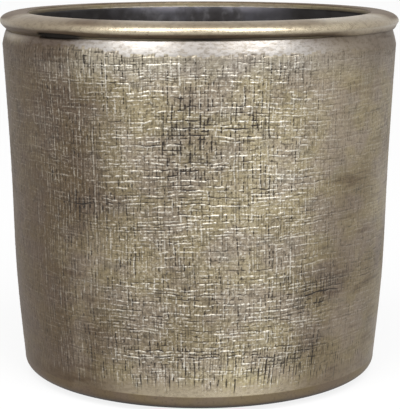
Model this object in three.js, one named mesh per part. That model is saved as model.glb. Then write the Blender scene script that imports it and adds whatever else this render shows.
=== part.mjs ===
import * as THREE from 'three';

// Flower pot: one fired ceramic casting with a rolled rim, a neck groove, a rounded shoulder, a
// slightly waisted wall and a recessed foot, standing on four self-adhesive rubber pads.
// Millimetres, +Z up. The origin is on the pot's axis, in the plane that it stands on.

// Overall size of the ceramic casting
const rimRadius = 110;
const potHeight = 200;

// Rolled rim: an elliptical bead that overhangs the neck outside and the wall inside
const beadWidth = 15.2;
const beadThickness = 10;
const beadCrownInset = 11.2;
const lipCornerRadius = 0.8;

// Neck groove and the sloped shoulder under it, as insets from the rim's widest circle and heights
const neckInset = 3.7;
const neckHeight = 0.7;
const shoulderInset = 1.2;
const shoulderTurnHeight = 8.4;
const shoulderFullness = 1.2;

// Outer wall below the shoulder, as insets from the rim's widest circle at heights over the foot
const waistInset = 4.2;
const waistHeight = 120;
const bellyInset = 6.2;
const bellyHeight = 56;
const heelInset = 10.2;
const heelHeight = 7.2;

// Heel turn under the wall, down to the foot ring
const heelTurnWidth = 9.2;
const heelFullness = 2.4;

// Foot ring and the recess inside it
const footWidth = 13;
const recessDepth = 2.5;

// Inside of the pot
const wallThickness = 8;
const floorThickness = 7.5;
const floorFillet = 12;
const lipDepth = 11;
const lipEaseHeight = 28;

// Self-adhesive pads under the foot ring
const padCount = 4;
const padDiameter = 9;
const padThickness = 1.2;
const padChamfer = 0.3;
const padInset = 8.1;

// Steps round the axis and along each stretch of the outline
const potSegments = 80;
const padSegments = 32;
const wallSteps = 9;
const turnSteps = 5;
const beadSteps = 9;

const glazedCeramic = new THREE.MeshStandardMaterial({ color: 0x9d9078, roughness: 0.34, metalness: 0.85 });
const rubber = new THREE.MeshStandardMaterial({ color: 0x26241f, roughness: 0.85, metalness: 0 });

// Points of an ellipse about a centre, from one angle to another in degrees, ends included
function arc(centreR, centreZ, semiR, semiZ, fromDegrees, toDegrees, steps) {
  const points = [];
  for (let i = 0; i <= steps; i++) {
    const angle = THREE.MathUtils.degToRad(fromDegrees + ((toDegrees - fromDegrees) * i) / steps);
    points.push(new THREE.Vector2(centreR + semiR * Math.cos(angle), centreZ + semiZ * Math.sin(angle)));
  }
  return points;
}

// Underside: the recess, its sloped edge and the flat foot ring
function undersideOutline() {
  const footRadius = rimRadius - heelInset - heelTurnWidth;
  const recessEdge = footRadius - footWidth;
  return [
    new THREE.Vector2(0, recessDepth),
    new THREE.Vector2(recessEdge - recessDepth, recessDepth),
    new THREE.Vector2(recessEdge, 0),
    new THREE.Vector2(footRadius, 0),
  ];
}

// Heel: a full quarter turn, squarer than an ellipse, from the foot ring up to the wall
function heelOutline() {
  const footRadius = rimRadius - heelInset - heelTurnWidth;
  const points = [];
  for (let i = 1; i < turnSteps; i++) {
    const angle = (Math.PI / 2) * (i / turnSteps);
    points.push(new THREE.Vector2(
      footRadius + heelTurnWidth * Math.sin(angle) ** (2 / heelFullness),
      heelHeight * (1 - Math.cos(angle) ** (2 / heelFullness)),
    ));
  }
  return points;
}

// Outer wall from the heel to the shoulder, as one smooth curve
function outerWall() {
  const shoulderHeight = potHeight - beadThickness / 2 - beadDrop(neckInset) - neckHeight - shoulderTurnHeight;
  return new THREE.SplineCurve([
    new THREE.Vector2(rimRadius - heelInset, heelHeight),
    new THREE.Vector2(rimRadius - bellyInset, bellyHeight),
    new THREE.Vector2(rimRadius - waistInset, waistHeight),
    new THREE.Vector2(rimRadius - shoulderInset, shoulderHeight),
  ]);
}

// How far the bead's underside lies below its nose, at an inset from the nose
function beadDrop(inset) {
  return (beadThickness / 2) * Math.sqrt(1 - (1 - inset / beadCrownInset) ** 2);
}

// Shoulder: a quarter turn, flatter than an ellipse, from the wall in to the neck
function shoulderOutline(shoulderZ) {
  const neckRadius = rimRadius - neckInset;
  const points = [];
  for (let i = 1; i <= turnSteps; i++) {
    const angle = (Math.PI / 2) * (i / turnSteps);
    points.push(new THREE.Vector2(
      neckRadius + (neckInset - shoulderInset) * Math.abs(Math.cos(angle)) ** (2 / shoulderFullness),
      shoulderZ + shoulderTurnHeight * Math.sin(angle) ** (2 / shoulderFullness),
    ));
  }
  return points;
}

// Shoulder, neck groove and the bead over its nose to the crisp inner lip
function rimOutline() {
  const beadR = rimRadius - beadCrownInset;
  const beadZ = potHeight - beadThickness / 2;
  const neckTop = beadZ - beadDrop(neckInset);
  const neckAngle = THREE.MathUtils.radToDeg(Math.asin((neckTop - beadZ) / (beadThickness / 2)));
  const bead = arc(beadR, beadZ, beadCrownInset, beadThickness / 2, neckAngle, 90, beadSteps);
  const lipRadius = rimRadius - beadWidth;
  const lipTop = beadZ + (beadThickness / 2) * Math.sqrt(1 - ((beadR - lipRadius) / beadCrownInset) ** 2);
  return [
    ...shoulderOutline(neckTop - neckHeight - shoulderTurnHeight),
    ...bead,
    new THREE.Vector2(lipRadius + lipCornerRadius, lipTop),
    new THREE.Vector2(lipRadius, lipTop - lipCornerRadius),
  ];
}

// Inside: the lip's upright face, its ease out to the wall, the wall, the floor's fillet, the floor
function innerOutline(wall) {
  const lipRadius = rimRadius - beadWidth;
  const floorZ = recessDepth + floorThickness;
  const filletTop = floorZ + floorFillet;
  const lipBottom = potHeight - lipDepth;
  const easeBottom = lipBottom - lipEaseHeight;
  const innerRadiusAt = (z) => radiusAt(wall, z) - wallThickness;
  const points = [];
  for (let i = 0; i <= turnSteps; i++) {
    const share = i / turnSteps;
    const z = lipBottom - lipEaseHeight * share;
    const blend = THREE.MathUtils.smoothstep(share, 0, 1);
    points.push(new THREE.Vector2(THREE.MathUtils.lerp(lipRadius, innerRadiusAt(z), blend), z));
  }
  for (let i = 1; i < wallSteps; i++) {
    const z = THREE.MathUtils.lerp(easeBottom, filletTop, i / wallSteps);
    points.push(new THREE.Vector2(innerRadiusAt(z), z));
  }
  const filletR = innerRadiusAt(filletTop) - floorFillet;
  points.push(...arc(filletR, filletTop, floorFillet, floorFillet, 0, -90, turnSteps));
  points.push(new THREE.Vector2(0, floorZ));
  return points;
}

// Radius of the outer wall at a height, read off its curve
function radiusAt(wall, z) {
  let low = 0;
  let high = 1;
  for (let i = 0; i < 40; i++) {
    const middle = (low + high) / 2;
    if (wall.getPoint(middle).y < z) {
      low = middle;
    } else {
      high = middle;
    }
  }
  return wall.getPoint(low).x;
}

function makePot() {
  const wall = outerWall();
  const outline = [
    ...undersideOutline(),
    ...heelOutline(),
    ...wall.getPoints(wallSteps),
    ...rimOutline(),
    ...innerOutline(wall),
  ];
  const pot = new THREE.Mesh(new THREE.LatheGeometry(outline, potSegments), glazedCeramic);
  pot.name = 'pot_body';
  pot.rotation.x = Math.PI / 2;
  pot.position.z = padThickness;
  return pot;
}

function makePad(index) {
  const radius = padDiameter / 2;
  const outline = [
    new THREE.Vector2(0, 0),
    new THREE.Vector2(radius - padChamfer, 0),
    new THREE.Vector2(radius, padChamfer),
    new THREE.Vector2(radius, padThickness),
    new THREE.Vector2(0, padThickness),
  ];
  const ringRadius = rimRadius - heelInset - heelTurnWidth - padInset;
  const angle = (2 * Math.PI * (index + 0.5)) / padCount;
  const pad = new THREE.Mesh(new THREE.LatheGeometry(outline, padSegments), rubber);
  pad.name = `foot_pad_${index + 1}`;
  pad.rotation.x = Math.PI / 2;
  pad.position.set(ringRadius * Math.cos(angle), ringRadius * Math.sin(angle), 0);
  return pad;
}

const flowerPot = new THREE.Group();
flowerPot.add(makePot());
for (let i = 0; i < padCount; i++) {
  flowerPot.add(makePad(i));
}

export default flowerPot;
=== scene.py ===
import math

import bpy
import numpy as np
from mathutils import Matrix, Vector


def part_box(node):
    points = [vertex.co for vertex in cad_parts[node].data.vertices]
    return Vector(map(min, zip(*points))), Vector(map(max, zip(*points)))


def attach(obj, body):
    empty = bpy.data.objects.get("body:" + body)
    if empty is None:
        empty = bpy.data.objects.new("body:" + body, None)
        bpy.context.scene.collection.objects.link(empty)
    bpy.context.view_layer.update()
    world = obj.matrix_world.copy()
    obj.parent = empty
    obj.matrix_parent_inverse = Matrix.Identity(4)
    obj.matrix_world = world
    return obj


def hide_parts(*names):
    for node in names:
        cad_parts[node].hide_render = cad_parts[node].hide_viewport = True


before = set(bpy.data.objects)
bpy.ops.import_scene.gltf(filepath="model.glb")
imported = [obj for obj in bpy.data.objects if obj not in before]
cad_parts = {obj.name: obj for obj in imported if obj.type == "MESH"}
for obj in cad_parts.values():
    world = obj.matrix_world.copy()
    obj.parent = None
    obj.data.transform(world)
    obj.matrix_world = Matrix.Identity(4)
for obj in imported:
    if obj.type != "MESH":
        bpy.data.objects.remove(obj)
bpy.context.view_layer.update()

# Overall sizes from the frame, in metres
POT_LOW, POT_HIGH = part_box("pot_body")
FOOT_LEVEL = POT_LOW.z
POT_HEIGHT = POT_HIGH.z - POT_LOW.z
RIM_RADIUS = (POT_HIGH.x - POT_LOW.x) / 2

# Rolled rim, neck groove and shoulder
BEAD_WIDTH = 0.0152
BEAD_HALF = 0.005
BEAD_CROWN_INSET = 0.0112
BEAD_UNDERSIDE = 0.0033
BEAD_UNDERSIDE_FULLNESS = 1.2
BEAD_TOP_FULLNESS = 2.18
LIP_ROUND = 0.0008
NECK_INSET = 0.0037
NECK_HEIGHT = 0.0003
SHOULDER_INSET = 0.0012
SHOULDER_TURN = 0.0088
SHOULDER_FULLNESS = 1.2

# Outer wall, as insets from the rim's widest circle at heights over the foot
WAIST_INSET, WAIST_HEIGHT = 0.0042, 0.120
BELLY_INSET, BELLY_HEIGHT = 0.0062, 0.056
HEEL_INSET, HEEL_HEIGHT = 0.0102, 0.0072
HEEL_TURN = 0.0092
HEEL_FULLNESS = 2.4
HEEL_EDGE = 0.0080

# Foot ring, recess and inside
FOOT_WIDTH = 0.013
FOOT_ROUND = 0.0009
RECESS_DEPTH = 0.0025
WALL = 0.008
FLOOR_THICKNESS = 0.0075
FLOOR_FILLET = 0.012
LIP_DEPTH = 0.011
LIP_EASE = 0.028
GOLD_INSIDE = 0.0031

# Radii and heights that follow from them
FOOT_RADIUS = RIM_RADIUS - HEEL_INSET - HEEL_TURN
NECK_RADIUS = RIM_RADIUS - NECK_INSET
LIP_RADIUS = RIM_RADIUS - BEAD_WIDTH
CROWN_RADIUS = RIM_RADIUS - BEAD_CROWN_INSET
BEAD_LEVEL = POT_HEIGHT - BEAD_HALF
NECK_TOP = BEAD_LEVEL - BEAD_UNDERSIDE
SHOULDER_LEVEL = NECK_TOP - NECK_HEIGHT - SHOULDER_TURN
FLOOR_LEVEL = RECESS_DEPTH + FLOOR_THICKNESS

# Mesh: columns round the pot, finer outside than inside, and rings of the wall, lip face and floor
FINE_COLUMNS = 2000
COARSE_COLUMNS = 400
WALL_RINGS = 660
LIP_FACE_RINGS = 6
FLOOR_RINGS = 13
SMALLEST_RING = 0.002
GIRTH = 2 * math.pi * (RIM_RADIUS - WAIST_INSET)

# Bake map: the outer skin above the inner one, and a disc each for the floor and the underside
MAP_MARGIN, MAP_WIDTH = 0.004, 0.992
OUTER_MAP_LOW, OUTER_MAP_HEIGHT = 0.31, 0.68
LIP_MAP_HIGH = 0.304
INNER_MAP_HIGH, INNER_MAP_HEIGHT = 0.30, 0.13
FLOOR_DISC, FOOT_DISC, DISC_REACH = (0.08, 0.08), (0.24, 0.08), 0.07

# Material slots of the pot
GOLD_SLOT, SLATE_SLOT, CLAY_SLOT = 0, 1, 2

# Cloth impression: thin ridges between the threads, each with a slit along its upper or right side
WEFT_PITCH, WEFT_SPREAD, WARP_PITCH, WARP_SPREAD = 0.0021, 0.42, 0.00215, 0.30
FINE_WARP_PITCH = 0.00145
RIDGE_HALF, WEFT_HEIGHT, WARP_HEIGHT = 0.00026, 0.00025, 0.00016
SLIT_HALF, SLIT_OFFSET, SLIT_DEPTH = 0.00026, 0.00053, 0.00034
CLOTH_LOW, CLOTH_HIGH = 0.0110, 0.1835
SHOULDER_CLOTH_RINGS = 18

# How high the level threads and the noise go, and the seeds of the cloth and of the glaze
WEFT_REACH, FIELD_HEIGHT = 0.20, 0.24
CLOTH_SEED, TONE_SEED = 17, 29

# Deeper slits, fainter below 0: amount, degrees from the front, level, half width, half height
DEEP_PATCHES = (
    (-0.7, -5, 0.078, 0.045, 0.024),
    (1.8, -3, 0.146, 0.014, 0.022),
    (0.8, 14, 0.152, 0.014, 0.010),
    (0.8, 36, 0.060, 0.018, 0.012),
    (0.4, 26, 0.098, 0.012, 0.026),
    (0.7, -33, 0.108, 0.016, 0.007),
    (0.8, 14, 0.026, 0.050, 0.012),
    (-0.5, 8, 0.047, 0.040, 0.012),
)

# Bands of painted shade and darker glaze tone, and of painted highlight below 0: amount, degrees, half
# width, levels of the fade in and the fade out
LIGHT_AND_TONE_BANDS = (
    (0.12, -33, 8, None, None),
    (0.20, -39, 8, (0.176, 0.184), None),
    (0.10, -8, 16, (0.05, 0.08), (0.160, 0.140)),
    (0.08, -26, 9, (0.05, 0.08), (0.160, 0.140)),
    (-0.22, 8, 20, None, (0.100, 0.075)),
    (-0.16, -52, 12, (0.095, 0.135), (0.188, 0.180)),
    (-0.13, -43, 10, None, (0.120, 0.090)),
    (0.10, 53, 9, (0.07, 0.09), (0.15, 0.12)),
    (0.10, 40, 15, (0.03, 0.06), (0.17, 0.13)),
    (0.14, 30, 10, None, (0.045, 0.030)),
    (0.26, -33, 13, (0.07, 0.12), (0.185, 0.160)),
    (-0.30, -18, 17, (0.160, 0.182), None),
    (-0.15, 20, 17, (0.160, 0.182), None),
    (-0.28, 16, 19, None, None),
    (-0.10, -16, 9, None, None),
)

# The lighter gilt patch under the rim at the left, placed as the patches are
GILT_PATCH = (-66, NECK_TOP - 0.003, 0.026, 0.003)

# Colours of the outer glaze
OLIVE_GOLD, MAUVE_GOLD = (0.482, 0.408, 0.236), (0.466, 0.393, 0.288)
COOL_BRONZE, PALE_GOLD = (0.355, 0.333, 0.265), (0.54, 0.465, 0.285)
SILVERY_AND_HIGHLIGHT, GILT, TARNISHED = (0.59, 0.565, 0.535), (0.44, 0.355, 0.200), (0.27, 0.22, 0.15)
DARK_SPOT, DARK_GRAIN, PALE_GRAIN = (0.14, 0.11, 0.08), (0.11, 0.09, 0.07), (0.78, 0.73, 0.62)
# The first tint darkens with painted shade and darker glaze tone; the brown is the slits' patina and the
# painted shade in the crease, at the foot and on the lip
SHADE_AND_TONE_TINT, SLIT_AND_SHADE_BROWN = (0.205, 0.160, 0.130), (0.024, 0.018, 0.013)
# Pale crests, with wear and a painted highlight, and their dimmer copy where painted shade lies
WEAR_AND_HIGHLIGHT, SHADED_WEAR_AND_HIGHLIGHT = (0.88, 0.85, 0.76), (0.35, 0.31, 0.25)

# Colours of the inner glaze, the clay and the pads
SLATE_DARK, SLATE_GREY, SLATE_MIST = (0.026, 0.023, 0.023), (0.066, 0.064, 0.072), (0.11, 0.105, 0.11)
# A painted bluish sheen under the lip, and painted shade that makes the sides nearly black
SLATE_SHEEN, SLATE_SHADE = (0.215, 0.205, 0.235), (0.008, 0.006, 0.005)
CLAY_PALE, CLAY_STAIN, CLAY_GRIT = (0.52, 0.44, 0.35), (0.38, 0.31, 0.24), (0.22, 0.17, 0.13)
RUBBER_BLACK, RUBBER_DUST = (0.018, 0.017, 0.016), (0.07, 0.065, 0.058)

# Where a painted bluish sheen lies on the inner glaze: depths under the rim's top, and distances to the
# left and the right, past which painted shade darkens it
BLUISH_LOW, BLUISH_HIGH = 0.0078, 0.0030
BLUISH_NEAR, BLUISH_FAR = 0.022, 0.068

# Studio: floor, world, softboxes by side, place and energy, and the camera fitted to the photo's outlines
FLOOR_REACH = 12.0
FLOOR_GREY, WORLD_GREY, WHITE = (0.86, 0.86, 0.86, 1), (0.35, 0.35, 0.36, 1), (1, 1, 1, 1)
SOFTBOX_AIM, SOFTBOX_SIZE = (0, 0, 0.15), (0.75, 1.25)
SOFTBOX_FORWARD, SOFTBOX_UP = 0.66, 1.18
SOFTBOXES = (("left", -0.43, 14.5), ("right", 0.43, 15.5))
CAMERA_ASIDE, CAMERA_BACK, CAMERA_HEIGHT, CAMERA_PITCH = 0.00048, 0.8437, 0.2475, 10.56
LENS, SENSOR_WIDTH = 132.77, 36


def smooth(low, high, value):
    """0 below low, 1 above high, and a smooth turn between."""
    share = np.clip((value - low) / (high - low), 0, 1)
    return share * share * (3 - 2 * share)


def ridge(distance, width):
    """A rounded ridge, 1 at its crest."""
    return np.exp(-((distance / width) ** 2))


def fade(levels, up):
    """A smooth turn between two levels, or 1 all the way where none are given."""
    return smooth(*levels, up) if levels else 1.0


def cubic_weights(share):
    """Weights of the four lattice points round a place, for a smooth surface between them."""
    return (
        (1 - share) ** 3 / 6,
        (3 * share**3 - 6 * share**2 + 4) / 6,
        (-3 * share**3 + 3 * share**2 + 3 * share + 1) / 6,
        share**3 / 6,
    )


class Noise:
    """Smooth noise of about -1 to 1 over the wall, which meets itself behind the pot."""

    def __init__(self, rng, cell_round, cell_up):
        self.columns = max(4, round(GIRTH / cell_round))
        self.cell_up = cell_up
        rows = int(FIELD_HEIGHT / cell_up) + 6
        self.lattice = rng.uniform(-1.8, 1.8, (rows, self.columns))

    def at(self, round_, up):
        x = (round_ / GIRTH * self.columns) % self.columns
        y = np.clip(up / self.cell_up + 2, 1, self.lattice.shape[0] - 3)
        column, row = np.floor(x).astype(int), np.floor(y).astype(int)
        total = 0.0
        for i, up_weight in enumerate(cubic_weights(y - row)):
            for j, round_weight in enumerate(cubic_weights(x - column)):
                picked = self.lattice[row + i - 1, (column + j - 1) % self.columns]
                total = total + up_weight * round_weight * picked
        return total


class Threads:
    """Parallel threads at uneven spacing, weak and strong by turns, each with a changing strength."""

    def __init__(self, rng, pitch, spread, length, closed=False):
        gaps = pitch * (1 + spread * rng.uniform(-1, 1, 2 * round(length / pitch / 2)))
        if closed:
            gaps *= length / gaps.sum()
        self.places = np.cumsum(gaps) - gaps / 2
        self.size = rng.uniform(0.7, 1.3, len(gaps)) * np.where(np.arange(len(gaps)) % 2, 0.75, 1.1)
        self.length, self.closed = length, closed
        self.rng = rng

    def nearest(self, across):
        """Which thread lies nearest, and how far off it is."""
        across = across % self.length if self.closed else across
        between = (self.places[1:] + self.places[:-1]) / 2
        which = np.searchsorted(between, across)
        return which, across - self.places[which]

    def strength(self, which, along, run, cell):
        """Smooth noise of about -1 to 1 along each thread, unlike its neighbours."""
        steps = max(4, round(run / cell))
        lattice = self.rng.uniform(-1.8, 1.8, (len(self.places), steps))
        x = (along / run * steps) % steps
        column = np.floor(x).astype(int)
        total = 0.0
        for j, weight in enumerate(cubic_weights(x - column)):
            total = total + weight * lattice[which, (column + j - 1) % steps]
        return total


def ellipse(centre_r, centre_z, semi_r, semi_z, start, end, steps):
    """Points of an ellipse from one angle to another, in degrees, ends included."""
    angles = np.radians(np.linspace(start, end, steps + 1))
    return np.stack([centre_r + semi_r * np.cos(angles), centre_z + semi_z * np.sin(angles)], 1)


def wall_curve(share):
    """The outer wall's smooth curve from the heel to the shoulder."""
    knots = np.array(
        [
            (RIM_RADIUS - HEEL_INSET, HEEL_HEIGHT),
            (RIM_RADIUS - BELLY_INSET, BELLY_HEIGHT),
            (RIM_RADIUS - WAIST_INSET, WAIST_HEIGHT),
            (RIM_RADIUS - SHOULDER_INSET, SHOULDER_LEVEL),
        ]
    )
    place = np.clip(share, 0, 1) * (len(knots) - 1)
    first = np.minimum(place.astype(int), len(knots) - 2)
    t = (place - first)[:, None]
    before, a = knots[np.maximum(first - 1, 0)], knots[first]
    b, after = knots[first + 1], knots[np.minimum(first + 2, len(knots) - 1)]
    slope_a, slope_b = (b - before) / 2, (after - a) / 2
    return (
        (2 * a - 2 * b + slope_a + slope_b) * t**3
        + (-3 * a + 3 * b - 2 * slope_a - slope_b) * t**2
        + slope_a * t
        + a
    )


def wall_radius(level):
    """The outer wall's radius at a height over the foot."""
    table = wall_curve(np.linspace(0, 1, 400))
    return np.interp(level, table[:, 1], table[:, 0])


def outer_outline():
    """The skin outside, from the foot ring's outer edge to the gold's edge inside the lip."""
    turn = np.linspace(0, math.pi / 2, 14)[:-1]
    power = 2 / HEEL_FULLNESS
    heel = np.stack(
        [FOOT_RADIUS + HEEL_TURN * np.sin(turn) ** power, HEEL_HEIGHT * (1 - np.cos(turn) ** power)],
        1,
    )
    levels = np.linspace(HEEL_HEIGHT, SHOULDER_LEVEL, WALL_RINGS)
    wall = np.stack([wall_radius(levels), levels], 1)
    shoulder_turn = np.linspace(0, math.pi / 2, 29)[1:-1]
    shoulder_power = 2 / SHOULDER_FULLNESS
    shoulder = np.stack(
        [
            NECK_RADIUS + (NECK_INSET - SHOULDER_INSET) * np.cos(shoulder_turn) ** shoulder_power,
            SHOULDER_LEVEL + SHOULDER_TURN * np.sin(shoulder_turn) ** shoulder_power,
        ],
        1,
    )
    neck = np.stack([np.full(3, NECK_RADIUS), np.linspace(NECK_TOP - NECK_HEIGHT, NECK_TOP, 4)[:-1]], 1)
    bead_turn = np.linspace(math.pi / 2, 0, 17)[:-1]
    bead_power = 2 / BEAD_UNDERSIDE_FULLNESS
    underside = np.stack(
        [
            NECK_RADIUS + NECK_INSET * np.cos(bead_turn) ** bead_power,
            BEAD_LEVEL + (NECK_TOP - BEAD_LEVEL) * np.sin(bead_turn) ** bead_power,
        ],
        1,
    )
    crown_turn = np.radians(np.linspace(0, 104, 27))
    crown_power = 2 / BEAD_TOP_FULLNESS
    inward = np.sign(np.cos(crown_turn)) * np.abs(np.cos(crown_turn)) ** crown_power
    bead = np.stack(
        [
            CROWN_RADIUS + BEAD_CROWN_INSET * inward,
            BEAD_LEVEL + BEAD_HALF * np.sin(crown_turn) ** crown_power,
        ],
        1,
    )
    lip_share = 1 - ((CROWN_RADIUS - LIP_RADIUS) / BEAD_CROWN_INSET) ** BEAD_TOP_FULLNESS
    lip_top = BEAD_LEVEL + BEAD_HALF * lip_share ** (1 / BEAD_TOP_FULLNESS)
    lip = ellipse(LIP_RADIUS + LIP_ROUND, lip_top - LIP_ROUND, LIP_ROUND, LIP_ROUND, 100, 180, 5)
    face_low = POT_HEIGHT - GOLD_INSIDE
    face_levels = np.linspace(lip_top - LIP_ROUND, face_low, LIP_FACE_RINGS)[1:]
    face = np.stack([np.full(len(face_levels), LIP_RADIUS), face_levels], 1)
    return np.concatenate([heel, wall, shoulder, neck, underside, bead, lip, face]), len(heel)


def inner_outline():
    """The inside from the gold's edge down to the middle of the floor."""
    lip_bottom = POT_HEIGHT - LIP_DEPTH
    face_levels = np.linspace(POT_HEIGHT - GOLD_INSIDE - 0.0003, lip_bottom, 9)
    face = np.stack([np.full(9, LIP_RADIUS), face_levels], 1)
    ease_levels = np.linspace(lip_bottom, lip_bottom - LIP_EASE, 13)[1:]
    share = smooth(lip_bottom, lip_bottom - LIP_EASE, ease_levels)
    ease_r = LIP_RADIUS + (wall_radius(ease_levels) - WALL - LIP_RADIUS) * share
    fillet_top = FLOOR_LEVEL + FLOOR_FILLET
    levels = np.linspace(ease_levels[-1], fillet_top, 26)[1:]
    wall = np.stack([wall_radius(levels) - WALL, levels], 1)
    fillet = ellipse(wall[-1, 0] - FLOOR_FILLET, fillet_top, FLOOR_FILLET, FLOOR_FILLET, 0, -90, 10)
    floor_r = np.linspace(fillet[-1, 0], SMALLEST_RING, FLOOR_RINGS + 1)[1:]
    floor = np.stack([floor_r, np.full(len(floor_r), FLOOR_LEVEL)], 1)
    return np.concatenate([face, np.stack([ease_r, ease_levels], 1), wall, fillet[1:], floor])


def under_outline():
    """The underside from the middle of the recess out to the foot ring's outer edge."""
    recess_edge = FOOT_RADIUS - FOOT_WIDTH
    recess_r = np.linspace(SMALLEST_RING, recess_edge - RECESS_DEPTH - FOOT_ROUND, 12)
    recess = np.stack([recess_r, np.full(len(recess_r), RECESS_DEPTH)], 1)
    slope = np.array(
        [
            (recess_edge - RECESS_DEPTH, RECESS_DEPTH - FOOT_ROUND / 4),
            (recess_edge - FOOT_ROUND / 2, FOOT_ROUND),
            (recess_edge, FOOT_ROUND / 4),
        ]
    )
    ring_r = np.linspace(recess_edge + FOOT_ROUND, FOOT_RADIUS - FOOT_ROUND, 8)
    ring = np.stack([ring_r, np.zeros(len(ring_r))], 1)
    return np.concatenate([recess, slope, ring])


def outward(outline):
    """The unit normal at each point of an outline that runs with its outside on the right."""
    along = np.gradient(outline, axis=0)
    along /= np.linalg.norm(along, axis=1, keepdims=True)
    return np.stack([along[:, 1], -along[:, 0]], 1)


def round_to_degrees(round_):
    """The angle from the front, -180 to 180, positive to the right."""
    return (round_ / GIRTH * 360 + 180) % 360 - 180


def patch(round_, up, degrees, level, half_round, half_up):
    """1 in the middle of a soft patch on the wall, at an angle from the front, falling to 0."""
    around = round_to_degrees(round_ - degrees / 360 * GIRTH) / 360 * GIRTH
    return np.exp(-((around / half_round) ** 2) - ((up - level) / half_up) ** 2)


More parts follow.
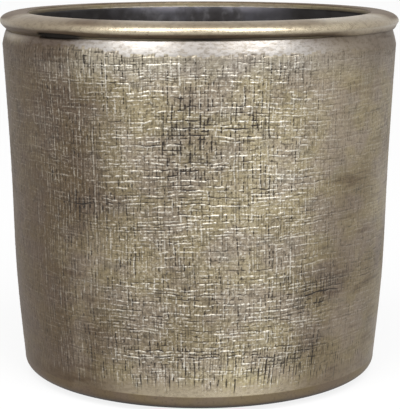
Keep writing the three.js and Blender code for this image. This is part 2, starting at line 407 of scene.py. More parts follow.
def cloth_relief(rng, round_, up):
    """The coarse cloth's impression: height in metres, dark slits, bright ridges, and where it is."""
    # Soft wandering of the threads, and the grain of the clay
    drift = Noise(rng, 0.045, 0.030).at(round_, up)
    drift_up = Noise(rng, 0.030, 0.022).at(round_, up)
    waver = Noise(rng, 0.011, 0.006).at(round_, up)
    waver_up = Noise(rng, 0.006, 0.011).at(round_, up)
    ripple = Noise(rng, 0.003, 0.003).at(round_, up)
    ripple_up = Noise(rng, 0.003, 0.003).at(round_, up)
    grain = Noise(rng, 0.0009, 0.0008).at(round_, up) + Noise(rng, 0.0015, 0.0009).at(round_, up)
    grit = rng.standard_normal(up.shape)
    grit = grit + np.roll(grit, 1, 1)
    grit[1:] = (grit[1:] + grit[:-1]) / 1.6

    # Level and upright threads, the level ones closer together near the shoulder
    weft = Threads(rng, WEFT_PITCH, WEFT_SPREAD, WEFT_REACH)
    warp = Threads(rng, WARP_PITCH, WARP_SPREAD, GIRTH, closed=True)
    closer = 0.0025 * smooth(0.168, 0.183, up)
    weft_which, weft_off = weft.nearest(up + closer + 0.0015 * drift_up + 0.0005 * waver + 0.0003 * ripple)
    warp_which, warp_off = warp.nearest(round_ + 0.0012 * drift + 0.0003 * waver_up + 0.0002 * ripple_up)

    def along_weft(cell):
        return weft.strength(weft_which, round_, GIRTH, cell)

    def along_warp(cell):
        return warp.strength(warp_which, up, FIELD_HEIGHT, cell)

    weft_off = weft_off + 0.00018 * along_weft(0.0045)
    weft_off = weft_off + 0.00010 * along_weft(0.0014)
    warp_off = warp_off + 0.00016 * along_warp(0.0040)

    # Where the cloth is combed upright, where it is faint, and where its slits are deep
    degrees = round_to_degrees(round_)
    left = smooth(-14, -34, degrees) * smooth(-110, -80, degrees)
    faint = 0.62 * smooth(-40, -58, degrees) * smooth(-120, -90, degrees)
    faint = faint + 0.80 * smooth(22, 46, degrees) * smooth(125, 95, degrees)
    low_edge = smooth(0.030, 0.018, up)
    low_comb = low_edge * smooth(-50, 0, degrees) * smooth(75, 50, degrees)
    combed = np.minimum(smooth(0.172, 0.179, up) + 0.8 * low_edge, 1)
    weft_zone = 0.7 + 0.3 * smooth(-0.7, 0.3, Noise(rng, 0.040, 0.026).at(round_, up))
    warp_zone = 0.42 + 0.5 * smooth(-0.5, 0.5, Noise(rng, 0.034, 0.034).at(round_, up))
    weft_zone = weft_zone * (1 - 0.5 * left) * (1 - 0.5 * combed * smooth(0.10, 0.05, up))
    warp_zone = np.maximum(warp_zone, 0.9 * np.maximum(left, combed))
    deep = 0.7 * Noise(rng, 0.030, 0.022).at(round_, up) - 0.15
    for amount, *place in DEEP_PATCHES:
        deep = deep + amount * patch(round_, up, *place)
    deep_zone = 0.5 + 0.8 * smooth(-0.2, 1.0, deep)

    # Ridges that the threads leave, in dashes and beads
    weft_run = 0.2 + 0.8 * smooth(-0.7, 0.2, along_weft(0.013))
    weft_run = weft_run * np.clip(1 + 1.2 * along_weft(0.0011), 0.2, 1.9)
    warp_run = 0.1 + 0.9 * smooth(-0.25, 0.6, along_warp(0.0080))
    long_run = 0.15 + 0.85 * smooth(-0.6, 0.4, along_warp(0.009))
    warp_run = np.maximum(warp_run, left * (0.6 + 0.4 * smooth(0.05, 0.12, up)) * long_run)
    beads = (0.8 - 0.10 * left) * along_warp(0.0013)
    warp_run = warp_run * np.clip(0.8 + beads, 0.15, 1.6)
    weft_ridge = ridge(weft_off, RIDGE_HALF) * weft_run * weft_zone * weft.size[weft_which]
    weft_ridge = weft_ridge * (1 - 0.85 * smooth(0.1810, 0.1820, up))
    warp_ridge = ridge(warp_off, RIDGE_HALF) * warp_run * warp_zone * warp.size[warp_which]

    # Slits beside the ridges, cut deeper in places
    weft_cut = 0.2 + 0.9 * smooth(-0.4, 0.5, along_weft(0.0021))
    weft_cut = weft_cut * (0.3 + 0.7 * smooth(-0.3, 0.5, along_weft(0.012)))
    weft_cut = weft_cut * np.minimum(weft.size[weft_which] + 0.2, 1.2)
    warp_cut = 0.10 + 1.0 * smooth(-0.1, 0.5, along_warp(0.0019))
    warp_cut = warp_cut * (0.45 + 0.55 * smooth(-0.3, 0.5, along_warp(0.012)))
    warp_cut = 1.45 * warp_cut + 0.3 * low_comb * smooth(-0.1, 0.5, along_warp(0.006))
    warp_cut = warp_cut * np.minimum(warp.size[warp_which] + 0.2, 1.2)
    gape = SLIT_HALF * (0.85 + 0.35 * smooth(0.2, 1.1, deep) + 0.25 * ripple)
    weft_slit = ridge(weft_off - SLIT_OFFSET, gape) * weft_cut * deep_zone
    weft_slit = weft_slit * np.maximum(weft_zone, smooth(0.3, 1.1, deep))
    warp_slit = ridge(warp_off - SLIT_OFFSET, gape) * warp_cut
    warp_slit = warp_slit * (1 - 0.75 * (1 - 0.6 * low_comb) * ridge(weft_off, 1.6 * RIDGE_HALF))
    warp_slit = warp_slit * np.minimum(deep_zone + 0.25 * low_comb, 1.2)
    fine = Threads(rng, FINE_WARP_PITCH, WARP_SPREAD, GIRTH, closed=True)
    fine_which, fine_off = fine.nearest(round_ + 0.0012 * drift + 0.0003 * waver_up)
    fine_cut = smooth(-0.2, 0.6, fine.strength(fine_which, up, FIELD_HEIGHT, 0.0024))
    fine_slit = 0.5 * ridge(fine_off, SLIT_HALF) * fine_cut * np.minimum(deep_zone, 1)
    warp_slit = np.maximum(warp_slit, fine_slit)

    # Dark and pale crumbs over both, and less contrast at the shoulder and the left
    crumbs = np.minimum(weft_zone + 0.4 * warp_zone, 1)
    dark_crumbs = 0.09 * np.maximum(-grit - 0.7, 0) + 0.15 * smooth(0.2, 1.0, -grain)
    pale_crumbs = 0.11 * np.maximum(grit - 0.7, 0) + 0.09 * smooth(0.2, 1.0, grain)
    slit = np.clip(np.maximum(weft_slit, warp_slit) + crumbs * dark_crumbs, 0, 1)
    crest_and_highlight = np.maximum(weft_ridge, (0.85 + 0.10 * left) * warp_ridge) + crumbs * pale_crumbs - 0.8 * slit
    calmer = 1 - 0.5 * smooth(0.177, 0.183, up)
    calmer = calmer * (1 - 0.20 * left - 0.30 * left * smooth(0.12, 0.07, up))
    crest_and_highlight = np.clip(crest_and_highlight * (1 + 0.40 * grit * (1 - 0.4 * left)) * calmer, 0, 1)

    # Height, and the ragged edges of the cloth, where each upright thread has its own end
    raised = WEFT_HEIGHT * weft_ridge + WARP_HEIGHT * warp_ridge
    raised = raised + 0.00002 * waver + crumbs * (0.00005 * grain + 0.000015 * grit)
    ends = rng.uniform(-1, 1, len(warp.places))[warp_which]
    cloth = smooth(CLOTH_LOW - 0.002, CLOTH_LOW + 0.005, up + 0.0012 * drift + 0.0028 * ends)
    top = CLOTH_HIGH + 0.0034 * left
    cloth = cloth * smooth(top + 0.0006, top - 0.0008, up + 0.0005 * waver + 0.0012 * ends)
    strength = cloth * (1 - faint)
    slit = slit * cloth * (1 - 0.55 * faint * (1 - smooth(0.0, 0.7, deep)))
    return raised * strength - SLIT_DEPTH * slit, slit, crest_and_highlight * strength, cloth


def hand_relief(rng, round_, up):
    """The soft unevenness of a hand-finished casting, in metres."""
    wide = Noise(rng, 0.11, 0.07).at(round_, up)
    middle = Noise(rng, 0.026, 0.020).at(round_, up)
    small = Noise(rng, 0.008, 0.006).at(round_, up)
    return 0.00025 * wide + 0.00005 * middle + 0.000015 * small


def open_crease(degrees):
    """Where the groove under the bead gapes at the front left: abrupt on one side, tapered on the other."""
    return smooth(-50.6, -49.2, degrees) * smooth(-31, -43, degrees)


def neck_relief(round_, up):
    """The groove under the bead, part filled at the front right, with the open crease in it."""
    middle = NECK_TOP - NECK_HEIGHT / 2
    degrees = round_to_degrees(round_)
    groove = 0.0002 * ridge(up - middle, 0.0006)
    filled = smooth(32, 48, degrees) * smooth(115, 90, degrees)
    groove = groove - 0.0011 * ridge(up - NECK_TOP - 0.0005, 0.0012) * filled
    return -groove - 0.0022 * ridge(up - middle, 0.0010) * open_crease(degrees)


def neck_sway(round_, up):
    """How far the neck of the hand-finished pot lies above or below its level, in metres."""
    degrees = round_to_degrees(round_)
    near = np.clip(1 - np.abs(up - NECK_TOP) / BEAD_UNDERSIDE, 0, 1)
    return near * (0.0002 * ridge(degrees - 18, 18) - 0.0008 * ridge(degrees + 66, 34))


def ring_points(outline, normals, offset, columns, sway=0.0):
    """Points of every ring, moved along the outline's normal, as rings by columns by xyz."""
    angle = np.arange(columns) / columns * 2 * math.pi
    radius = outline[:, :1] + normals[:, :1] * offset
    height = outline[:, 1:] + normals[:, 1:] * offset + sway + FOOT_LEVEL
    x, y = radius * np.sin(angle), -radius * np.cos(angle)
    return np.stack([x, y, np.broadcast_to(height, x.shape)], 2)


class MeshParts:
    """Collects vertices and faces with a material, a map place per corner, and values per vertex."""

    def __init__(self):
        self.points = []
        self.fields = {"patina_and_shade": [], "crest_and_highlight": [], "painted_light_and_tone": [], "polish_and_highlight": [], "gilt": []}
        self.faces, self.places, self.slots = [], [], []
        self.count = 0

    def add_rings(self, points, fields=None):
        rings, columns = points.shape[:2]
        index = np.arange(rings * columns).reshape(rings, columns) + self.count
        self.points.append(points.reshape(-1, 3))
        for title, values in self.fields.items():
            values.append(fields[title].ravel() if fields else np.zeros(rings * columns))
        self.count += rings * columns
        return index

    def add_faces(self, corners, places, slot):
        self.faces.append(corners.reshape(-1, corners.shape[-1]))
        self.places.append(places.reshape(-1, 2))
        self.slots.append(np.full(len(self.faces[-1]), slot))

    def skin(self, index, place, slot):
        """Quads between neighbouring rings. place gives the map place of a ring and column."""
        rings, columns = index.shape
        ring, column = np.meshgrid(np.arange(rings - 1), np.arange(columns), indexing="ij")
        turns = [(0, 0), (0, 1), (1, 1), (1, 0)]
        corners = np.stack([index[ring + a, (column + b) % columns] for a, b in turns], -1)
        places = np.stack([place(ring + a, column + b) for a, b in turns], -2)
        self.add_faces(corners, places, slot)

    def join(self, fine, coarse, fine_place, coarse_place, slot, flip=False):
        """Triangles between a fine ring and a coarse one, whose columns divide the fine ring's."""
        step = len(fine) // len(coarse)
        for j in range(len(coarse)):
            after = (j + 1) % len(coarse)
            fans = [(0, k) for k in range(step // 2)] + [(1, k) for k in range(step // 2, step)]
            for side, k in fans:
                first, second = step * j + k, step * j + k + 1
                corner = [fine[first], fine[second % len(fine)], coarse[after if side else j]]
                place = [fine_place(first), fine_place(second), coarse_place(j + side)]
                self.put_triangle(corner, place, slot, flip)
            middle = step * j + step // 2
            corner = [fine[middle], coarse[after], coarse[j]]
            place = [fine_place(middle), coarse_place(j + 1), coarse_place(j)]
            self.put_triangle(corner, place, slot, flip)

    def put_triangle(self, corner, place, slot, flip):
        order = [0, 2, 1] if flip else [0, 1, 2]
        corners = np.array([[corner[i] for i in order]])
        self.add_faces(corners, np.array([[place[i] for i in order]]), slot)

    def cap(self, index, centre, middle_place, place, slot, flip):
        """A fan from one ring to a point."""
        hub = self.add_rings(np.array([[centre]]))[0, 0]
        columns = len(index)
        for j in range(columns):
            corner = [index[j], index[(j + 1) % columns], hub]
            self.put_triangle(corner, [place(j), place(j + 1), middle_place], slot, flip)

    def mesh(self, name):
        sizes = np.concatenate([np.full(len(f), f.shape[1]) for f in self.faces])
        loops = np.concatenate([f.ravel() for f in self.faces]).astype(np.int32)
        made = bpy.data.meshes.new(name)
        made.vertices.add(self.count)
        made.vertices.foreach_set("co", np.concatenate(self.points).astype(np.float32).ravel())
        made.loops.add(len(loops))
        made.loops.foreach_set("vertex_index", loops)
        made.polygons.add(len(sizes))
        made.polygons.foreach_set("loop_start", (np.cumsum(sizes) - sizes).astype(np.int32))
        made.polygons.foreach_set("material_index", np.concatenate(self.slots).astype(np.int32))
        made.update(calc_edges=True)
        made.polygons.foreach_set("use_smooth", np.ones(len(sizes), bool))
        layer = made.uv_layers.new(name="OFBake")
        layer.uv.foreach_set("vector", np.concatenate(self.places).astype(np.float32).ravel())
        for title, values in self.fields.items():
            field = made.attributes.new(title, "FLOAT", "POINT")
            field.data.foreach_set("value", np.concatenate(values).astype(np.float32))
        made.validate()
        return made


def paint_light_and_tone(rng, round_, up):
    """Painted shade, painted highlight where it falls below the rest, and darker glaze tone: round the
    sides, the back, the rim and the heel.
    """
    degrees = round_to_degrees(round_)
    aside = np.abs(degrees)
    patchy = 0.25 * Noise(rng, 0.06, 0.05).at(round_, up)
    patchy = patchy + 0.12 * Noise(rng, 0.02, 0.016).at(round_, up)

    # Painted shade round the left, the right and the back, less so on the rim
    painted_light_and_tone = 0.95 * smooth(64, 28, np.abs(degrees + 80) + 20 * patchy)
    painted_light_and_tone = np.maximum(painted_light_and_tone, 0.6 * smooth(58, 26, np.abs(degrees - 88) + 20 * patchy))
    painted_light_and_tone = np.maximum(painted_light_and_tone, 0.5 * smooth(34, 12, aside - 140 + 20 * patchy))
    on_rim = smooth(NECK_TOP, NECK_TOP + 0.003, up)
    painted_light_and_tone = painted_light_and_tone * (1 + 0.25 * smooth(0.15, 0.08, up)) * (1 - 0.65 * on_rim)

    # Bands of painted shade, painted highlight and darker tone, and level streaks on the wall
    painted_light_and_tone = painted_light_and_tone + 0.08
    painted_light_and_tone = painted_light_and_tone + 0.12 * smooth(34, 50, degrees) * (smooth(0.09, 0.12, up) - 1.3 * smooth(0.07, 0.05, up))
    for amount, middle, half, fade_in, fade_out in LIGHT_AND_TONE_BANDS:
        painted_light_and_tone = painted_light_and_tone + amount * ridge(degrees - middle, half) * fade(fade_in, up) * fade(fade_out, up)
    painted_light_and_tone = painted_light_and_tone - 0.22 * ridge(degrees - 33, 12) * ridge(up - 0.085, 0.020)
    painted_light_and_tone = painted_light_and_tone - 0.30 * smooth(0.040, 0.012, up) * smooth(46, 24, aside)
    streaks = Noise(rng, 0.010, 0.0010).at(round_, up) + 0.5 * Noise(rng, 0.030, 0.0030).at(round_, up)
    streaked = smooth(20, 44, aside) * smooth(NECK_TOP + 0.001, NECK_TOP - 0.001, up)
    painted_light_and_tone = painted_light_and_tone + 0.14 * smooth(0.3, 1.2, streaks) * streaked

    # Painted shade on the top and the underside of the rolled rim, more at the far sides and in the middle
    # between the highlights
    bead = smooth(NECK_TOP, NECK_TOP + 0.0002, up)
    upper = smooth(BEAD_LEVEL + 0.0006, BEAD_LEVEL + 0.0036, up)
    lower = smooth(BEAD_LEVEL + 0.0005, BEAD_LEVEL - 0.0016, up)
    far_round = smooth(30, 62, aside) + 0.5 * smooth(80, 120, aside)
    upper_shade = 0.62 + 0.20 * ridge(aside - 24, 12) - 0.45 * smooth(30, 42, aside) * smooth(78, 62, aside)
    upper_shade = upper_shade + 0.25 * smooth(60, 82, aside)
    lower_shade = 0.35 + 0.65 * smooth(52, 34, aside)
    lower_shade = lower_shade - 0.34 * smooth(10, 38, degrees) * smooth(100, 80, degrees)
    painted_light_and_tone = painted_light_and_tone + bead * (upper_shade * upper + lower_shade * lower)
    painted_light_and_tone = painted_light_and_tone + bead * (0.10 * far_round * (1 - upper) + 0.12 * ridge(degrees, 6))

    # Painted shade on the shoulder under the groove and at the right, and a lighter gilt patch at the left
    neck_side = smooth(NECK_TOP, NECK_TOP - 0.0004, up) * ridge(up - NECK_TOP, 0.0042)
    painted_light_and_tone = painted_light_and_tone + 0.16 * neck_side * smooth(42, 28, aside) + 0.30 * neck_side * ridge(degrees - 38, 12)
    right_shoulder = smooth(30, 44, degrees) * smooth(84, 70, degrees)
    painted_light_and_tone = painted_light_and_tone + 0.14 * ridge(up - (NECK_TOP - 0.006), 0.006) * right_shoulder
    painted_light_and_tone = painted_light_and_tone - 0.5 * patch(round_, up, *GILT_PATCH)

    # Heel band: darker tone and painted shade on the downturned bevel, darkest at the foot with a painted
    # contact shadow
    heel = (0.80 + 0.5 * patchy) * smooth(HEEL_EDGE + 0.0002, HEEL_EDGE - 0.0002, up)
    heel = heel + 0.3 * smooth(0.0055, 0, up)
    return np.clip(np.maximum(painted_light_and_tone + patchy, heel), 0, 1)


def outside_skin(outline, heel_rings):
    """How far each point of the outer skin stands off its outline, and what colours it."""
    rng, tone_rng = np.random.default_rng(CLOTH_SEED), np.random.default_rng(TONE_SEED)
    round_ = np.arange(FINE_COLUMNS) / FINE_COLUMNS * GIRTH
    grid_round, grid_up = np.meshgrid(round_, outline[:, 1])
    degrees = round_to_degrees(grid_round)
    relief, slit, crest_and_highlight, cloth = (np.zeros(grid_up.shape) for _ in range(4))
    wall = slice(heel_rings, heel_rings + WALL_RINGS + SHOULDER_CLOTH_RINGS)
    relief[wall], slit[wall], crest_and_highlight[wall], cloth[wall] = cloth_relief(rng, grid_round[wall], grid_up[wall])
    offset = relief + hand_relief(tone_rng, grid_round, grid_up) * smooth(0, 0.004, grid_up)
    offset += neck_relief(grid_round, grid_up)

    # Painted shade, with dark patina, in the groove under the bead, and a painted contact shadow at the
    # foot's edge
    under_bead = smooth(NECK_TOP + 0.0014, NECK_TOP + 0.0003, grid_up)
    under_bead *= smooth(NECK_TOP - 0.0010, NECK_TOP - 0.0003, grid_up)
    crease_shade = 0.36 * smooth(-55, -50, degrees) * (1 - 0.6 * smooth(30, 46, degrees))
    crease_shade = crease_shade + 0.75 * open_crease(degrees) + 0.24 * ridge(degrees - 1, 9)
    slit = np.maximum(slit, crease_shade * under_bead)
    slit = np.maximum(slit, 0.85 * smooth(0.0040, 0.0008, grid_up))

    # Smooth polished glaze off the cloth and at its top, with a paler tone that is partly a painted
    # highlight; gilt on the rim and the heel
    polish_and_highlight = np.maximum(1 - cloth, 0.75 * smooth(0.160, 0.182, grid_up))
    polish_and_highlight = polish_and_highlight * smooth(HEEL_EDGE - 0.0002, HEEL_EDGE + 0.0002, grid_up) * (1 - under_bead)
    gilt = polish_and_highlight * (1 - smooth(0.05, 0.06, grid_up) * smooth(NECK_TOP + 0.001, NECK_TOP, grid_up))
    gilt = np.maximum(gilt, 0.9 * patch(grid_round, grid_up, *GILT_PATCH))
    gilt = np.maximum(gilt, 0.6 * polish_and_highlight * smooth(24, 44, degrees) * smooth(120, 90, degrees))
    painted_light_and_tone = paint_light_and_tone(tone_rng, grid_round, grid_up)
    pebbled = Noise(tone_rng, 0.0016, 0.0012).at(grid_round, grid_up) * (1 - cloth)
    calmer = smooth(HEEL_EDGE, HEEL_EDGE + 0.002, grid_up)
    calmer = calmer * (1 - 0.6 * smooth(NECK_TOP, BEAD_LEVEL, grid_up))
    offset += 0.000030 * pebbled * calmer

    # The lip's inner face: painted shade darkens it downwards at the sides, and a painted highlight gives
    # it a bright edge at the back
    lip_face = slice(len(outline) - LIP_FACE_RINGS, len(outline))
    face_up = grid_up[lip_face] - (POT_HEIGHT - GOLD_INSIDE)
    behind = smooth(124, 150, np.abs(degrees[lip_face]))
    slit[lip_face] = 0.45 * (1 - behind) * smooth(0.0018, 0.0002, face_up)
    crest_and_highlight[lip_face] = behind * smooth(0.0012, 0, face_up) * (0.30 + 0.25 * pebbled[lip_face])
    painted_light_and_tone[lip_face] *= 0.3
    polish_and_highlight[lip_face], gilt[lip_face] = 0.3, 0.4
    sway = neck_sway(grid_round, grid_up)
    return offset, sway, {"patina_and_shade": slit, "crest_and_highlight": crest_and_highlight, "painted_light_and_tone": painted_light_and_tone, "polish_and_highlight": polish_and_highlight, "gilt": gilt}


def map_across(column, columns):
    """How far across the map a column lies."""
    return MAP_MARGIN + MAP_WIDTH * column / columns


def pot_mesh():
    """The pot's one skin: outside, inside and underside."""
    parts = MeshParts()
    outline, heel_rings = outer_outline()
    offset, sway, fields = outside_skin(outline, heel_rings)
    outer = parts.add_rings(ring_points(outline, outward(outline), offset, FINE_COLUMNS, sway), fields)
    travel = np.concatenate([[0], np.cumsum(np.linalg.norm(np.diff(outline, axis=0), axis=1))])
    outer_share = OUTER_MAP_LOW + OUTER_MAP_HEIGHT * travel / travel[-1]

    def outer_place(ring, column):
        return np.stack([map_across(column, FINE_COLUMNS), outer_share[ring]], -1)

    parts.skin(outer, outer_place, GOLD_SLOT)

    inside = inner_outline()
    inner = parts.add_rings(ring_points(inside, outward(inside), 0.0, COARSE_COLUMNS))
    wall_rings = len(inside) - FLOOR_RINGS
    inner_share = INNER_MAP_HIGH - INNER_MAP_HEIGHT * np.arange(wall_rings) / (wall_rings - 1)

    def inner_place(ring, column):
        return np.stack([map_across(column, COARSE_COLUMNS), inner_share[ring]], -1)

    parts.skin(inner[:wall_rings], inner_place, SLATE_SLOT)
    parts.join(
        outer[-1],
        inner[0],
        lambda k: (map_across(k, FINE_COLUMNS), LIP_MAP_HIGH),
        lambda j: (map_across(j, COARSE_COLUMNS), INNER_MAP_HIGH),
        SLATE_SLOT,
    )

    def disc(centre, outline_part):
        widest = outline_part[:, 0].max()

        def place(ring, column):
            angle = column / COARSE_COLUMNS * 2 * math.pi
            reach = DISC_REACH * outline_part[ring, 0] / widest
            return np.stack([centre[0] + reach * np.sin(angle), centre[1] + reach * np.cos(angle)], -1)

        return place

    floor_place = disc(FLOOR_DISC, inside[wall_rings - 1:])
    parts.skin(inner[wall_rings - 1:], floor_place, SLATE_SLOT)
    last = len(inside) - wall_rings
    parts.cap(
        inner[-1],
        (0, 0, FLOOR_LEVEL + FOOT_LEVEL),
        FLOOR_DISC,
        lambda j: floor_place(last, j),
        SLATE_SLOT,
        flip=False,
    )

    below = under_outline()
    under = parts.add_rings(ring_points(below, outward(below), 0.0, COARSE_COLUMNS))
    under_place = disc(FOOT_DISC, np.concatenate([below, outline[:1]]))
    parts.skin(under, under_place, CLAY_SLOT)
    ring = len(below) - 1
    parts.join(
        outer[0],
        under[-1],
        lambda k: under_place(ring + 1, k * COARSE_COLUMNS / FINE_COLUMNS),
        lambda j: under_place(ring, j),
        CLAY_SLOT,
        flip=True,
    )
    parts.cap(
        under[0],
        (0, 0, RECESS_DEPTH + FOOT_LEVEL),
        FOOT_DISC,
        lambda j: under_place(0, j),
        CLAY_SLOT,
        flip=True,
    )
    return parts.mesh("glazed_pot")


class Nodes:
    """A short way to write a material's node tree."""

    def __init__(self, name):
        self.material = bpy.data.materials.new(name)
        self.material.use_nodes = True
        self.tree = self.material.node_tree
        self.shader = self.tree.nodes["Principled BSDF"]
        self.place = self.add("ShaderNodeTexCoord").outputs["Object"]

    def add(self, kind, **values):
        node = self.tree.nodes.new(kind)
        for key, value in values.items():
            setattr(node, key, value)
        return node

    def link(self, source, target):
        self.tree.links.new(source, target)

    def noise(self, stretch, scale, detail=3.0, roughness=0.55):
        """Noise over the object's own coordinates, stretched by a factor on each axis."""
        mapping = self.add("ShaderNodeMapping")
        mapping.inputs["Scale"].default_value = stretch
        self.link(self.place, mapping.inputs["Vector"])
        made = self.add("ShaderNodeTexNoise")
        made.inputs["Scale"].default_value = scale
        made.inputs["Detail"].default_value = detail
        made.inputs["Roughness"].default_value = roughness
        self.link(mapping.outputs["Vector"], made.inputs["Vector"])
        return made.outputs["Fac"]

    def value(self, name):
        node = self.add("ShaderNodeAttribute", attribute_name=name)
        return node.outputs["Fac"]

    def ramp(self, source, *stops):
        """A value turned through stops of (place, value)."""
        node = self.add("ShaderNodeValToRGB")
        node.color_ramp.interpolation = "EASE"
        elements = node.color_ramp.elements
        while len(elements) < len(stops):
            elements.new(0.5)
        for element, (at, level) in zip(elements, stops):
            element.position = at
            element.color = (level, level, level, 1)
        self.link(source, node.inputs["Fac"])
        return node.outputs["Color"]

    def mix(self, share, first, second, blend="MIX"):
        """Two colours mixed. Each is a socket or a colour."""
        node = self.add("ShaderNodeMix", data_type="RGBA", blend_type=blend)
        self.feed(node.inputs["Factor"], share)
        self.feed(node.inputs[6], first)
        self.feed(node.inputs[7], second)
        return node.outputs[2]

    def math(self, operation, first, second):
        node = self.add("ShaderNodeMath", operation=operation)
        self.feed(node.inputs[0], first)
        self.feed(node.inputs[1], second)
        return node.outputs[0]

    def plus(self, first, second):
        return self.math("ADD", first, second)

    def times(self, first, second):
        return self.math("MULTIPLY", first, second)

    def turn(self, source, low, high, first, last):
        """A value that turns smoothly from first to last while its source goes from low to high."""
        node = self.add("ShaderNodeMapRange", interpolation_type="SMOOTHSTEP")
        for title, value in zip(("From Min", "From Max", "To Min", "To Max"), (low, high, first, last)):
            node.inputs[title].default_value = value
        self.link(source, node.inputs["Value"])
        return node.outputs["Result"]

    def feed(self, target, given):
        if isinstance(given, bpy.types.NodeSocket):
            self.link(given, target)
        elif isinstance(given, tuple):
            target.default_value = (*given, 1)
        else:
            target.default_value = given

    def bump(self, height, distance, strength=1.0):
        node = self.add("ShaderNodeBump")
        node.inputs["Distance"].default_value = distance
        node.inputs["Strength"].default_value = strength
        self.link(height, node.inputs["Height"])
        return node


def gold_glaze():
    """Antique metallic glaze: olive gold and mauve grey, dark with patina in the hollows and pale with wear
    on the crests, with painted shade, painted highlights and a painted contact shadow.
    """
    n = Nodes("antique_gold_glaze")
    patina_and_shade, crest_and_highlight, painted_light_and_tone = n.value("patina_and_shade"), n.value("crest_and_highlight"), n.value("painted_light_and_tone")
    polish_and_highlight, gilt = n.value("polish_and_highlight"), n.value("gilt")
    wide = n.noise((1, 1, 1.5), 45, 1)
    mottle = n.noise((1, 1, 1.2), 75, 1)
    cool = n.noise((1, 1, 1.8), 70, 1)
    patina = n.noise((1, 1, 2.2), 300, 3)
    speckle = n.noise((1, 1, 1), 700, 3)
    grains = n.noise((1, 1, 1), 2300, 2)
    upright = n.noise((1, 1, 0.09), 900, 2)
    level = n.noise((0.12, 0.12, 1), 1100, 2)
    tone = n.mix(n.ramp(wide, (0.38, 0), (0.62, 1)), OLIVE_GOLD, MAUVE_GOLD)
    tone = n.mix(n.ramp(cool, (0.54, 0), (0.74, 0.40)), tone, COOL_BRONZE)
    tone = n.mix(n.ramp(mottle, (0.50, 0), (0.68, 0.5)), tone, PALE_GOLD)
    # Paler silvery tone where the glaze is polished, partly its own colour and partly a painted highlight
    tone = n.mix(n.ramp(polish_and_highlight, (0.30, 0), (0.75, 0.40), (1.0, 1)), tone, SILVERY_AND_HIGHLIGHT)
    tone = n.mix(n.ramp(gilt, (0.0, 0), (1.0, 0.70)), tone, GILT)
    tarnish = n.times(n.ramp(patina, (0.46, 0), (0.64, 0.45)), polish_and_highlight)
    tone = n.mix(tarnish, tone, TARNISHED)
    rugged = n.plus(n.times(polish_and_highlight, -0.35), 1.0)
    dark_grains = n.times(n.ramp(grains, (0.30, 0.3), (0.42, 0)), rugged)
    pale_grains = n.times(n.ramp(grains, (0.58, 0), (0.70, 0.25)), rugged)
    spots = n.times(n.ramp(speckle, (0.33, 0.32), (0.46, 0)), rugged)
    tone = n.mix(spots, tone, DARK_SPOT)
    tone = n.mix(dark_grains, tone, DARK_GRAIN)
    tone = n.mix(pale_grains, tone, PALE_GRAIN)
    # Painted shade, painted highlight and darker glaze tone, multiplied into the colour
    tone = n.mix(painted_light_and_tone, tone, SHADE_AND_TONE_TINT, "MULTIPLY")
    # Pale crests: wear with a painted highlight, dimmer in painted shade
    wear_and_highlight = n.mix(painted_light_and_tone, WEAR_AND_HIGHLIGHT, SHADED_WEAR_AND_HIGHLIGHT)
    tone = n.mix(n.times(crest_and_highlight, 1.05), tone, wear_and_highlight)
    # Patina in the slits, and painted shade in the crease, at the foot and on the lip's face
    tone = n.mix(n.times(patina_and_shade, 1.65), tone, SLIT_AND_SHADE_BROWN)
    n.link(tone, n.shader.inputs["Base Color"])
    rough = n.ramp(mottle, (0.3, 0.38), (0.7, 0.48))
    rough = n.mix(n.ramp(polish_and_highlight, (0.0, 0), (1.0, 1)), rough, (0.32, 0.32, 0.32))
    rough = n.mix(gilt, rough, n.ramp(speckle, (0.35, 0.25), (0.65, 0.34)))
    rough = n.mix(n.ramp(painted_light_and_tone, (0.3, 0), (1.0, 1)), rough, (0.56, 0.56, 0.56))
    rough = n.mix(n.ramp(patina_and_shade, (0.1, 0), (0.9, 0.8)), rough, (0.65, 0.65, 0.65))
    n.link(rough, n.shader.inputs["Roughness"])
    n.link(n.ramp(polish_and_highlight, (0.0, 0.5), (1.0, 0.75)), n.shader.inputs["Metallic"])
    relief = n.plus(n.plus(upright, level), speckle)
    n.link(n.bump(relief, 0.00025, 0.15).outputs["Normal"], n.shader.inputs["Normal"])
    return n.material


def slate_glaze():
    """The dark glossy glaze inside: misty, with a painted bluish sheen under the lip, and painted shade
    nearly black at the sides.
    """
    n = Nodes("slate_inner_glaze")
    runs = n.noise((1, 1, 0.8), 55, 4)
    mist = n.noise((1, 1, 1.0), 150, 4)
    tone = n.mix(n.ramp(runs, (0.40, 0), (0.66, 1)), SLATE_DARK, SLATE_GREY)
    tone = n.mix(n.ramp(mist, (0.52, 0), (0.72, 0.5)), tone, SLATE_MIST)
    height = n.add("ShaderNodeSeparateXYZ")
    n.link(n.place, height.inputs[0])
    top = FOOT_LEVEL + POT_HEIGHT
    under_lip = n.turn(height.outputs["Z"], top - BLUISH_LOW, top - BLUISH_HIGH, 0.0, 0.95)
    middle = n.turn(n.math("ABSOLUTE", height.outputs["X"], 0.0), BLUISH_NEAR, BLUISH_FAR, 1.0, 0.0)
    patchy = n.times(under_lip, n.ramp(runs, (0.36, 0.15), (0.60, 1)))
    patchy = n.times(patchy, middle)
    # Painted bluish sheen under the lip in the middle, and painted shade nearly black at the sides
    tone = n.mix(patchy, tone, SLATE_SHEEN)
    tone = n.mix(middle, n.mix(0.9, tone, SLATE_SHADE), tone)
    n.link(tone, n.shader.inputs["Base Color"])
    n.link(n.ramp(mist, (0.3, 0.30), (0.7, 0.48)), n.shader.inputs["Roughness"])
    n.link(n.bump(mist, 0.0004, 0.3).outputs["Normal"], n.shader.inputs["Normal"])
    return n.material


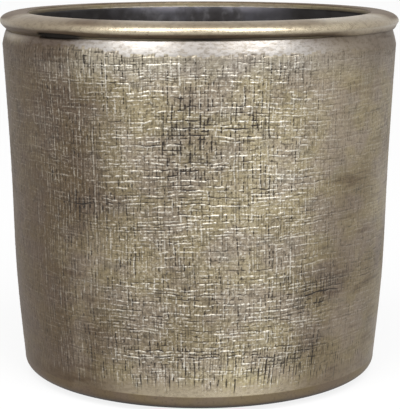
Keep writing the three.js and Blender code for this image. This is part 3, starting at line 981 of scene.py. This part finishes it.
def bare_clay():
    """The unglazed underside: pale fired clay with fine grit and glaze smears."""
    n = Nodes("unglazed_clay")
    grit = n.noise((1, 1, 1), 1400, 4)
    stain = n.noise((1, 1, 1), 45, 4)
    tone = n.mix(n.ramp(stain, (0.4, 0), (0.7, 1)), CLAY_PALE, CLAY_STAIN)
    tone = n.mix(n.ramp(grit, (0.55, 0), (0.75, 0.6)), tone, CLAY_GRIT)
    n.link(tone, n.shader.inputs["Base Color"])
    n.shader.inputs["Roughness"].default_value = 0.85
    n.link(n.bump(grit, 0.0003, 0.5).outputs["Normal"], n.shader.inputs["Normal"])
    return n.material


def pad_rubber():
    """Dark matte rubber with a fine grain and a little dust."""
    n = Nodes("pad_rubber")
    grain = n.noise((1, 1, 1), 2600, 3)
    dust = n.noise((1, 1, 1), 240, 4)
    tone = n.mix(n.ramp(dust, (0.45, 0), (0.75, 0.5)), RUBBER_BLACK, RUBBER_DUST)
    n.link(tone, n.shader.inputs["Base Color"])
    n.shader.inputs["Roughness"].default_value = 0.78
    n.link(n.bump(grain, 0.0001, 0.5).outputs["Normal"], n.shader.inputs["Normal"])
    return n.material


def make_pot():
    mesh = pot_mesh()
    for material in (gold_glaze(), slate_glaze(), bare_clay()):
        mesh.materials.append(material)
    pot = bpy.data.objects.new("glazed_pot", mesh)
    bpy.context.scene.collection.objects.link(pot)
    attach(pot, "root")
    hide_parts("pot_body")
    return pot


def dress_pads(material):
    for name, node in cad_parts.items():
        if name.startswith("foot_pad_"):
            node.data.materials.clear()
            node.data.materials.append(material)


def seen_directly(nodes, links):
    """1 for rays from the camera and for reflections and glass, 0 for diffuse light."""
    path = nodes.new("ShaderNodeLightPath")
    total = path.outputs["Is Camera Ray"]
    for name in ("Is Glossy Ray", "Is Transmission Ray"):
        either = nodes.new("ShaderNodeMath")
        either.operation = "MAXIMUM"
        links.new(total, either.inputs[0])
        links.new(path.outputs[name], either.inputs[1])
        total = either.outputs[0]
    return total


def floor_material():
    """Pale floor that is seen near white and keeps the pot's soft shadow."""
    material = bpy.data.materials.new("studio_floor")
    material.use_nodes = True
    nodes, links = material.node_tree.nodes, material.node_tree.links
    shader = nodes["Principled BSDF"]
    shader.inputs["Base Color"].default_value = FLOOR_GREY
    shader.inputs["Roughness"].default_value = 0.9
    glow = nodes.new("ShaderNodeEmission")
    distance = nodes.new("ShaderNodeVectorMath")
    distance.operation = "LENGTH"
    links.new(nodes.new("ShaderNodeTexCoord").outputs["Object"], distance.inputs[0])
    whiter = nodes.new("ShaderNodeMapRange")
    whiter.interpolation_type = "SMOOTHSTEP"
    whiter.inputs["From Min"].default_value = 0.10
    whiter.inputs["From Max"].default_value = 0.60
    whiter.inputs["To Min"].default_value = 0.85
    whiter.inputs["To Max"].default_value = 0.95
    links.new(distance.outputs["Value"], whiter.inputs["Value"])
    share = nodes.new("ShaderNodeMath")
    share.operation = "MULTIPLY"
    links.new(whiter.outputs["Result"], share.inputs[1])
    links.new(seen_directly(nodes, links), share.inputs[0])
    blend = nodes.new("ShaderNodeMixShader")
    links.new(share.outputs[0], blend.inputs["Fac"])
    links.new(shader.outputs["BSDF"], blend.inputs[1])
    links.new(glow.outputs["Emission"], blend.inputs[2])
    links.new(blend.outputs["Shader"], nodes["Material Output"].inputs["Surface"])
    return material


def make_floor():
    mesh = bpy.data.meshes.new("studio_floor")
    corners = [(x * FLOOR_REACH, y * FLOOR_REACH, 0) for x, y in ((-1, -1), (1, -1), (1, 1), (-1, 1))]
    mesh.from_pydata(corners, [], [(0, 1, 2, 3)])
    mesh.materials.append(floor_material())
    floor = bpy.data.objects.new("studio_floor", mesh)
    bpy.context.scene.collection.objects.link(floor)


def make_world():
    """A plain white studio, dimmer as a source of diffuse light, which the softboxes give."""
    world = bpy.data.worlds.new("studio")
    bpy.context.scene.world = world
    world.use_nodes = True
    nodes, links = world.node_tree.nodes, world.node_tree.links
    blend = nodes.new("ShaderNodeMix")
    blend.data_type = "RGBA"
    blend.inputs[6].default_value = WORLD_GREY
    blend.inputs[7].default_value = WHITE
    links.new(seen_directly(nodes, links), blend.inputs["Factor"])
    links.new(blend.outputs[2], nodes["Background"].inputs["Color"])


def add_softbox(side, x, energy):
    light = bpy.data.lights.new(f"{side}_softbox", "AREA")
    light.shape = "RECTANGLE"
    light.size, light.size_y = SOFTBOX_SIZE
    light.energy = energy
    made = bpy.data.objects.new(f"{side}_softbox", light)
    made.location = (x, -SOFTBOX_FORWARD, SOFTBOX_UP)
    made.rotation_euler = (Vector(SOFTBOX_AIM) - made.location).to_track_quat("-Z", "Y").to_euler()
    bpy.context.scene.collection.objects.link(made)


def make_camera():
    """The photo's viewpoint, from a fit of the rim, wall and foot outlines."""
    camera = bpy.data.objects.new("photo_camera", bpy.data.cameras.new("photo_camera"))
    camera.data.lens = LENS
    camera.data.sensor_width = SENSOR_WIDTH
    camera.location = (CAMERA_ASIDE, -CAMERA_BACK, FOOT_LEVEL + CAMERA_HEIGHT)
    camera.rotation_euler = (math.pi / 2 - math.radians(CAMERA_PITCH), 0, 0)
    bpy.context.scene.collection.objects.link(camera)
    bpy.context.scene.camera = camera


make_camera()
make_floor()
make_world()
for side, x, energy in SOFTBOXES:
    add_softbox(side, x, energy)
make_pot()
dress_pads(pad_rubber())

bpy.context.scene.view_settings.view_transform = "Standard"
